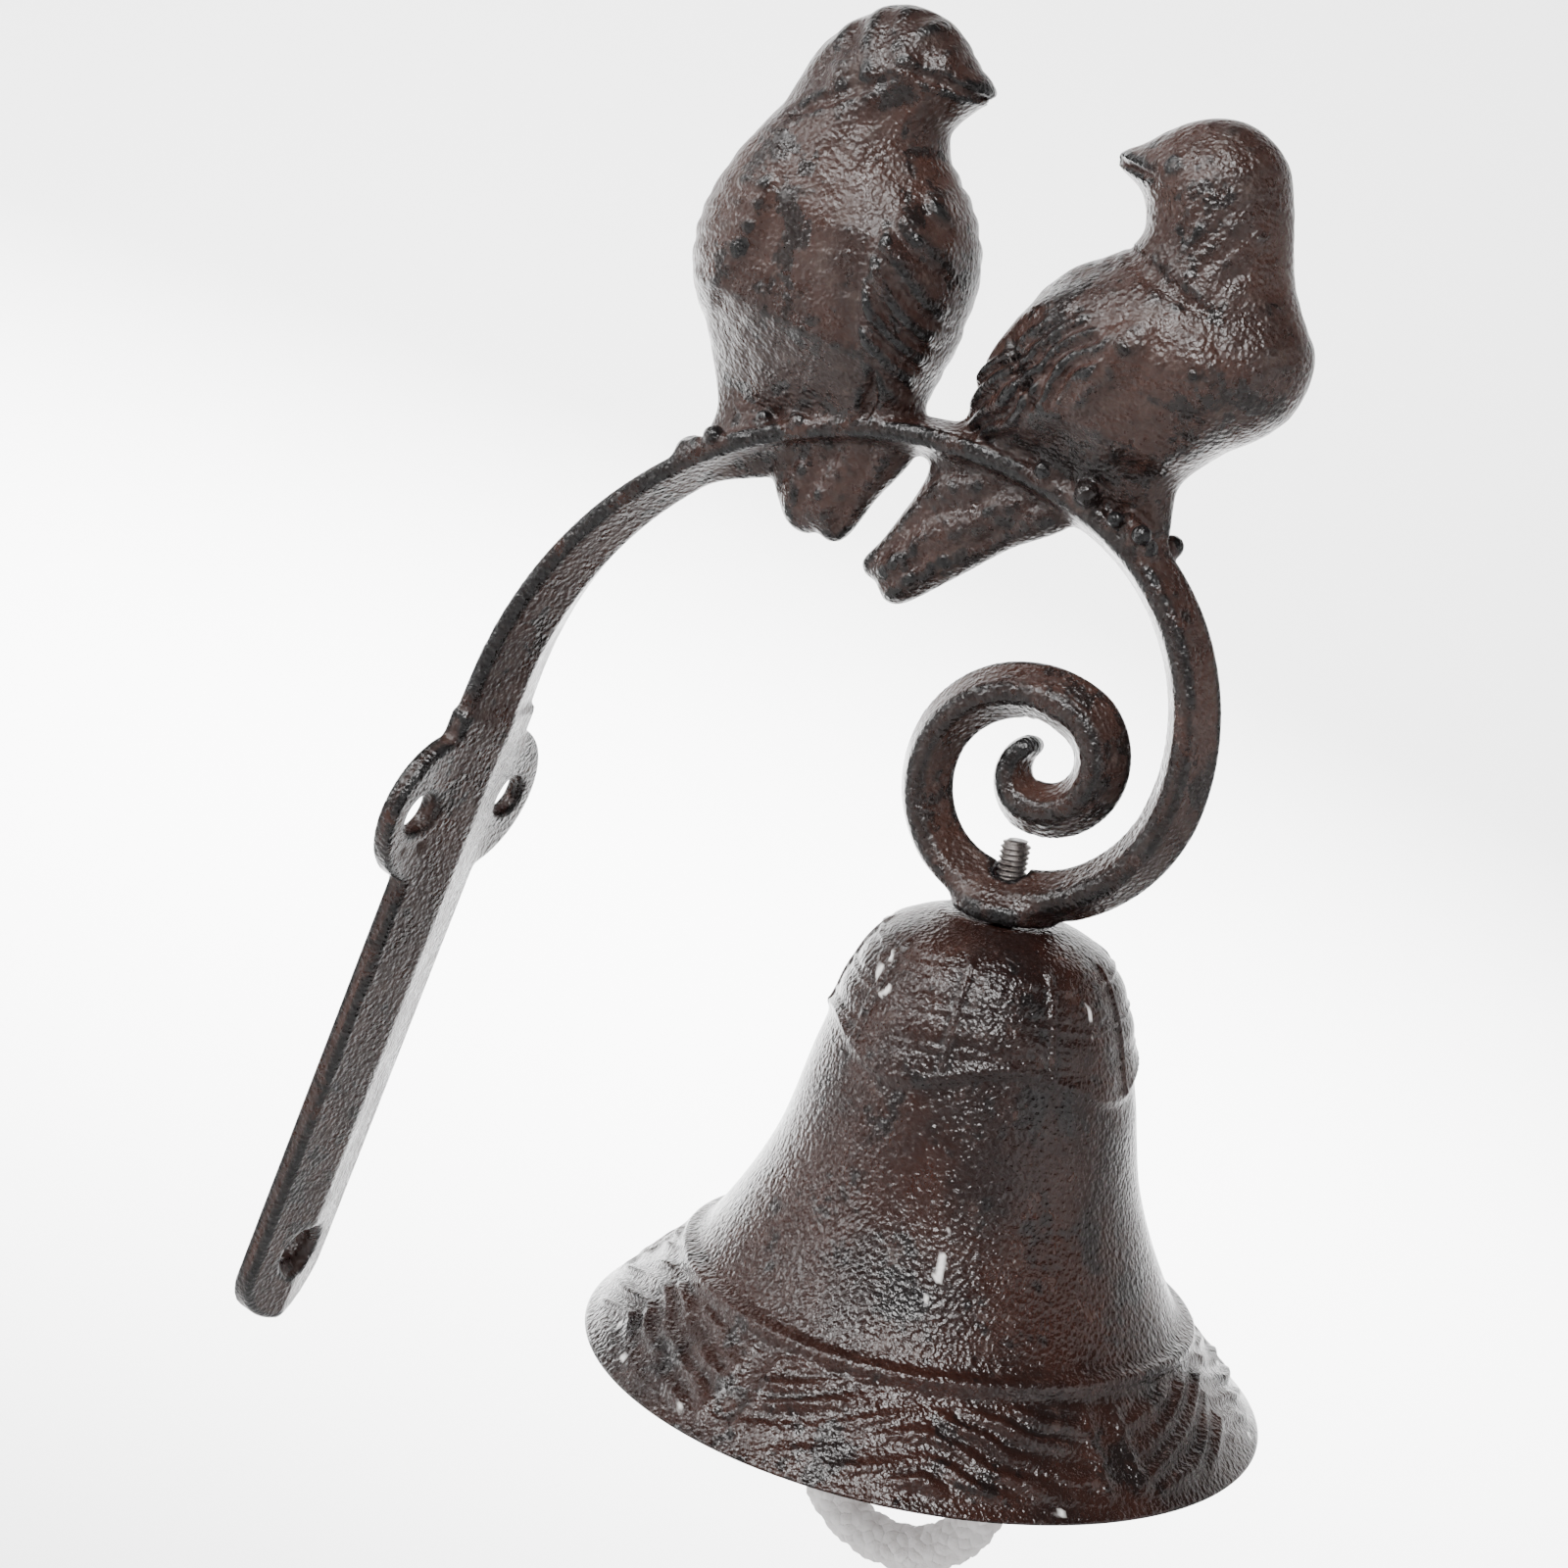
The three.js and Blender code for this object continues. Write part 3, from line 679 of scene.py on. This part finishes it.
def bell_chips_and_highlights(angle, depth, radius):
    """1 inside the bell's chips and its painted highlight specks, and 0 elsewhere."""
    wobble = 0.35 * np.sin(7 * angle + 1.3 * depth) + 0.3 * np.sin(31 * angle - 2.1 * depth)
    chips_and_highlights = np.zeros(np.broadcast_shapes(angle.shape, depth.shape))
    for spot_angle, spot_depth, across, tall in CHIPS_AND_HIGHLIGHTS:
        turn = np.mod(angle - math.radians(spot_angle) + math.pi, 2 * math.pi) - math.pi
        reach = np.hypot(turn * radius / across, (depth - spot_depth) / tall) * 1.5
        chips_and_highlights = np.maximum(chips_and_highlights, 1 - smoothstep(0.5, 0.7, reach * (1 + wobble)))
    return chips_and_highlights


def make_bell(material):
    sides = 420
    outside = spline(BELL_OUTSIDE, 170)
    inside = spline(BELL_INSIDE, 60)
    lip = [((outside[-1][0] * (3 - k) + inside[0][0] * k) / 3, BELL_HEIGHT + 0.0) for k in (1, 2)]
    bore = [(BOLT_HOLE_RADIUS, CROWN_WALL), (BOLT_HOLE_RADIUS, 0.0), (5.0, 0.0)]
    profile = np.array([*outside, *lip, *inside, (5.5, CROWN_WALL), *bore])
    slope = np.gradient(outside, axis=0)
    normal = np.stack([slope[:, 1], -slope[:, 0]], axis=1)
    normal /= np.linalg.norm(normal, axis=1)[:, None]
    angle = np.arange(sides) * 2 * math.pi / sides
    radius = np.repeat(profile[:, 0][:, None], sides, axis=1)
    depth = np.repeat(profile[:, 1][:, None], sides, axis=1)
    relief = bell_relief(angle[None, :], outside[:, 1][:, None])
    fade = smoothstep(0.2, 1.6, outside[:, 1]) * (1 - smoothstep(61.0, 61.9, outside[:, 1]))
    rows = len(outside)
    radius[:rows] += normal[:, 0][:, None] * relief * fade[:, None]
    depth[:rows] += normal[:, 1][:, None] * relief * fade[:, None]
    points = in_bell(radius * np.cos(angle), radius * np.sin(angle), depth).reshape(-1, 3)
    faces = ring_faces(len(profile), sides, closed=True)
    bell = make_piece("bell", points, faces, material, "base")
    # White chips, and painted highlight specks in the bell's sheen, kept as a 0 to 1 value at each point.
    chips_and_highlights = np.zeros(radius.shape)
    chips_and_highlights[:rows] = bell_chips_and_highlights(angle[None, :], outside[:, 1][:, None], outside[:, 0][:, None])
    set_attribute(bell, "chip_and_highlight", chips_and_highlights.ravel())
    mark_ridges(bell, 40, 260, 4)
    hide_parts("bell_casting")


# ------------------------------------------------------------------ tubes, bolt, knot and rope
def sweep(path, radius, sides, closed=False, flatness=1.0, out=None):
    """A tube of given radius along a path of points; open ends are capped."""
    path = np.asarray(path, dtype=float)
    if closed:
        tangent = np.roll(path, -1, axis=0) - np.roll(path, 1, axis=0)
    else:
        tangent = np.gradient(path, axis=0)
    tangent /= np.linalg.norm(tangent, axis=1)[:, None]
    reference = np.tile([0.0, 1.0, 0.0], (len(path), 1)) if out is None else np.asarray(out, dtype=float)
    first = reference - tangent * np.sum(reference * tangent, axis=1)[:, None]
    first /= np.linalg.norm(first, axis=1)[:, None]
    second = np.cross(tangent, first)
    turn = np.arange(sides) * 2 * math.pi / sides
    ring = (flatness * np.cos(turn)[None, :, None] * first[:, None, :]
            + np.sin(turn)[None, :, None] * second[:, None, :])
    radii = np.broadcast_to(np.asarray(radius, dtype=float), (len(path),))
    points = (path[:, None, :] + radii[:, None, None] * ring).reshape(-1, 3)
    faces = ring_faces(len(path), sides, closed)
    if not closed:
        faces += cap_faces(len(path), sides)
    return points, faces


def join_parts(parts):
    """One list of points and faces from several."""
    points, faces, count = [], [], 0
    for part_points, part_faces in parts:
        points.append(part_points)
        faces.extend(tuple(index + count for index in face) for face in part_faces)
        count += len(part_points)
    return np.concatenate(points), faces


def make_eye_bolt(material):
    """The M4 eye bolt: a real helical thread on its shank, and a bent wire eye below."""
    pitch = 0.7
    sides = 36
    depths = np.arange(BOLT_TIP, 9.2, pitch / 8)
    angle = np.arange(sides) * 2 * math.pi / sides
    phase = depths[:, None] / pitch + angle[None, :] / (2 * math.pi)
    tooth = np.abs(2 * (phase - np.floor(phase)) - 1)
    radius = BOLT_RADIUS - 0.42 * tooth
    radius = radius - 0.5 * (1 - smoothstep(0, 0.7, depths - BOLT_TIP))[:, None]
    shank = in_bell(radius * np.cos(angle), radius * np.sin(angle), np.repeat(depths[:, None], sides, axis=1))
    shank_faces = ring_faces(len(depths), sides) + cap_faces(len(depths), sides)
    turn = np.linspace(math.radians(-250), math.radians(80), 40)
    eye_path = in_bell(BOLT_EYE_RADIUS * np.cos(turn), 0, BOLT_EYE_DEPTH - BOLT_EYE_RADIUS * np.sin(turn))
    eye = sweep(eye_path, BOLT_EYE_WIRE, 14)
    parts = [(shank.reshape(-1, 3), shank_faces), eye]
    bolt = make_piece("threaded_eye_bolt", *join_parts(parts), material, "base")
    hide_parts("eye_bolt")


def rope_loop(count):
    """The rope's middle line: the same open loop as the CAD rope's."""
    angle = np.linspace(ROPE_LOOP_START, 2 * math.pi - ROPE_LOOP_START, count)
    return in_bell(-ROPE_LOOP_RADIUS * np.sin(angle), 0,
                   KNOT_DEPTH + ROPE_LOOP_RADIUS - ROPE_LOOP_RADIUS * np.cos(angle)), angle


def braid_strands(centre, outward, sideways, run, rope_radius, strands, pitch, width):
    """The strands of a round braid: half wind each way, passing over and under each other."""
    parts = []
    for way in (1, -1):
        for index in range(strands // 2):
            turn = way * 2 * math.pi * run / pitch + 2 * math.pi * index / (strands // 2)
            shift = 0 if way > 0 else math.pi
            weave = np.cos(strands / 2 * (2 * math.pi * run / pitch) + math.pi * index + shift)
            radius = rope_radius - 0.75 * width + 0.32 * width * weave
            heading = outward * np.cos(turn)[:, None] + sideways * np.sin(turn)[:, None]
            parts.append(sweep(centre + heading * radius[:, None], width, 8, flatness=0.5, out=heading))
    return parts


def make_rope(material):
    path, angle = rope_loop(150)
    run = ROPE_LOOP_RADIUS * (angle - angle[0])
    cosine, sine = math.cos(BELL_TILT), math.sin(BELL_TILT)
    across_part, depth_part = -np.sin(angle), -np.cos(angle)
    outward = np.stack([across_part * cosine + depth_part * sine, np.zeros(len(angle)),
                        across_part * sine - depth_part * cosine], axis=1)
    sideways = np.tile([0.0, 1.0, 0.0], (len(path), 1))
    parts = braid_strands(path, outward, sideways, run, ROPE_RADIUS, 16, 17.0, 0.95)
    parts.append(sweep(path, ROPE_RADIUS - 0.9, 12, out=outward))
    rope = make_piece("pull_rope_braid", *join_parts(parts), material, "clapper")
    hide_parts("pull_rope")


def make_knot(material):
    """The knot under the clapper: a strand through the clapper's eye, drawn into an overhand knot."""
    turn = np.arange(90) * 2 * math.pi / 90
    strand_radius = LOWER_EYE_WIRE + 0.3 + KNOT_STRAND_RADIUS
    strand_path = in_bell(strand_radius * np.cos(turn), 0,
                          LOWER_EYE_DEPTH + LOWER_EYE_RADIUS + strand_radius * np.sin(turn))
    ring_out = np.tile([0.0, 1.0, 0.0], (90, 1))
    strand = sweep(strand_path, KNOT_STRAND_RADIUS * 0.98, 14, closed=True, out=ring_out)
    tube = 2.35
    turn = np.arange(140) * 2 * math.pi / 140
    knot_path = in_bell((KNOT_RADII[0] - tube) * (np.sin(turn) + 2 * np.sin(2 * turn)) / 3,
                        (KNOT_RADII[1] - tube) * np.cos(3 * turn) * 0.75,
                        KNOT_DEPTH + 0.5 + (KNOT_RADII[2] - tube) * (np.cos(turn) - 2 * np.cos(2 * turn)) / 3)
    knot = make_piece("rope_knot_wraps", *join_parts([strand, sweep(knot_path, tube, 14, closed=True)]),
                      material, "clapper")
    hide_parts("rope_knot")
    return knot


# ------------------------------------------------------------------ materials
class Nodes:
    """Short names for building a material's node tree."""

    def __init__(self, name):
        self.material = bpy.data.materials.new(name)
        self.material.use_nodes = True
        self.tree = self.material.node_tree
        self.shader = self.tree.nodes["Principled BSDF"]
        self.place = self.tree.nodes.new("ShaderNodeTexCoord").outputs["Object"]

    def link(self, source, target):
        self.tree.links.new(source, target)

    def noise(self, scale, detail, roughness):
        node = self.tree.nodes.new("ShaderNodeTexNoise")
        self.link(self.place, node.inputs["Vector"])
        node.inputs["Scale"].default_value = scale
        node.inputs["Detail"].default_value = detail
        node.inputs["Roughness"].default_value = roughness
        return node.outputs["Fac"]

    def cells(self, scale):
        node = self.tree.nodes.new("ShaderNodeTexVoronoi")
        self.link(self.place, node.inputs["Vector"])
        node.inputs["Scale"].default_value = scale
        return node.outputs["Distance"]

    def attribute(self, name):
        node = self.tree.nodes.new("ShaderNodeAttribute")
        node.attribute_name = name
        return node.outputs["Fac"]

    def ramp(self, value, low, high, from_value=0.0, to_value=1.0):
        node = self.tree.nodes.new("ShaderNodeMapRange")
        node.interpolation_type = "SMOOTHSTEP"
        self.link(value, node.inputs["Value"])
        node.inputs["From Min"].default_value = low
        node.inputs["From Max"].default_value = high
        node.inputs["To Min"].default_value = from_value
        node.inputs["To Max"].default_value = to_value
        return node.outputs["Result"]

    def math(self, operation, first, second):
        node = self.tree.nodes.new("ShaderNodeMath")
        node.operation = operation
        for socket, value in zip(node.inputs, (first, second)):
            if isinstance(value, (int, float)):
                socket.default_value = value
            else:
                self.link(value, socket)
        return node.outputs[0]

    def mix(self, share, first, second):
        node = self.tree.nodes.new("ShaderNodeMix")
        node.data_type = "RGBA"
        self.link(share, node.inputs["Factor"])
        for socket, value in ((node.inputs["A"], first), (node.inputs["B"], second)):
            if isinstance(value, tuple):
                socket.default_value = (*value, 1)
            else:
                self.link(value, socket)
        return node.outputs["Result"]

    def bump(self, height, distance, strength=1.0, normal=None):
        node = self.tree.nodes.new("ShaderNodeBump")
        self.link(height, node.inputs["Height"])
        node.inputs["Distance"].default_value = distance
        node.inputs["Strength"].default_value = strength
        if normal:
            self.link(normal, node.inputs["Normal"])
        return node.outputs["Normal"]

    def finish(self, color, roughness, normal, metallic=0.0, specular=0.5):
        self.link(color, self.shader.inputs["Base Color"])
        self.link(roughness, self.shader.inputs["Roughness"])
        self.link(normal, self.shader.inputs["Normal"])
        self.shader.inputs["Metallic"].default_value = metallic
        self.shader.inputs["Specular IOR Level"].default_value = specular
        return self.material


# Shades of the lacquer from dark to light: the bell is darker and redder than the bracket.
BRACKET_BROWNS = ((0.021, 0.0100, 0.0078), (0.036, 0.0165, 0.0122), (0.060, 0.0400, 0.0325))
BELL_BROWNS = ((0.009, 0.0036, 0.0028), (0.022, 0.0078, 0.0052), (0.040, 0.0210, 0.0160))
LACQUER_BLACK = (0.0045, 0.0040, 0.0040)
# White of the bell's chips, also used for its painted highlight specks.
CHIP_AND_HIGHLIGHT_WHITE = (0.72, 0.70, 0.68)


def iron_material(name, browns, gloss, chips_and_highlights=False):
    """Glossy brown lacquer over sand-cast iron, black in patches and along the ridges."""
    n = Nodes(name)
    dark, middle, light = browns
    medium = n.noise(300, 4, 0.6)
    color = n.mix(n.ramp(n.noise(60, 5, 0.6), 0.38, 0.62), dark, middle)
    color = n.mix(n.ramp(medium, 0.54, 0.72, 0.0, 0.5), color, light)
    speckle = n.ramp(n.cells(420), 0.0, 0.6, 0.0, -0.08)
    patches = n.ramp(n.math("ADD", n.noise(95, 6, 0.7), speckle), 0.47, 0.54)
    ridges = n.math("MULTIPLY", n.attribute("edge"), n.ramp(n.noise(150, 5, 0.7), 0.36, 0.50))
    black = n.math("MAXIMUM", n.math("MULTIPLY", patches, 0.8), ridges)
    color = n.mix(black, color, LACQUER_BLACK)
    worn = n.math("ADD", medium, n.math("MULTIPLY", n.noise(1500, 3, 0.6), 0.3))
    roughness = n.math("SUBTRACT", n.ramp(worn, 0.35, 0.95, *gloss), n.math("MULTIPLY", black, 0.08))
    # Paints the bell's white chips and its painted highlight specks over the lacquer.
    if chips_and_highlights:
        color = n.mix(n.attribute("chip_and_highlight"), color, CHIP_AND_HIGHLIGHT_WHITE)
    grain = n.math("ADD", n.noise(1300, 2, 0.5), n.math("MULTIPLY", n.cells(1500), 0.5))
    normal = n.bump(grain, 0.00026, 1.0)
    normal = n.bump(medium, 0.0004, 0.14, normal)
    return n.finish(color, roughness, normal, specular=0.42)


def steel_material(name, bright, dark, scale):
    n = Nodes(name)
    stains = n.noise(scale, 5, 0.65)
    color = n.mix(n.ramp(stains, 0.4, 0.65), bright, dark)
    roughness = n.ramp(n.noise(scale * 4, 3, 0.6), 0.3, 0.7, 0.25, 0.5)
    normal = n.bump(n.noise(scale * 9, 3, 0.6), 0.00006, 0.6)
    return n.finish(color, roughness, normal, metallic=0.9)


def cotton_material():
    n = Nodes("cotton")
    fibres = n.noise(2600, 4, 0.7)
    shade = n.noise(300, 4, 0.6)
    color = n.mix(n.ramp(shade, 0.35, 0.7), (0.93, 0.90, 0.89), (0.84, 0.80, 0.79))
    roughness = n.ramp(fibres, 0.3, 0.7, 0.8, 0.95)
    n.shader.inputs["Sheen Weight"].default_value = 0.3
    return n.finish(color, roughness, n.bump(fibres, 0.00025, 0.8), specular=0.2)


def dress_cad_node(node, material):
    item = bpy.data.objects[node]
    item.data.materials.clear()
    item.data.materials.append(material)


# ------------------------------------------------------------------ build
make_camera()
cotton = cotton_material()
knot = make_knot(cotton)
make_rope(cotton)
make_light()
make_floor()

make_bracket(iron_material("bracket_iron", BRACKET_BROWNS, (0.20, 0.42)))
make_bell(iron_material("bell_iron", BELL_BROWNS, (0.15, 0.30), chips_and_highlights=True))
stud_steel = steel_material("bolt_steel", (0.20, 0.18, 0.17), (0.06, 0.05, 0.045), 500)
zinc_steel = steel_material("zinc_steel", (0.52, 0.52, 0.53), (0.30, 0.29, 0.28), 350)
make_eye_bolt(stud_steel)
for cad_node in ("clamp_washer", "clamp_nut", "hanger_ring", "clapper_rod"):
    dress_cad_node(cad_node, zinc_steel)
dress_cad_node("clapper_ball", iron_material("ball_iron", BELL_BROWNS, (0.24, 0.46)))
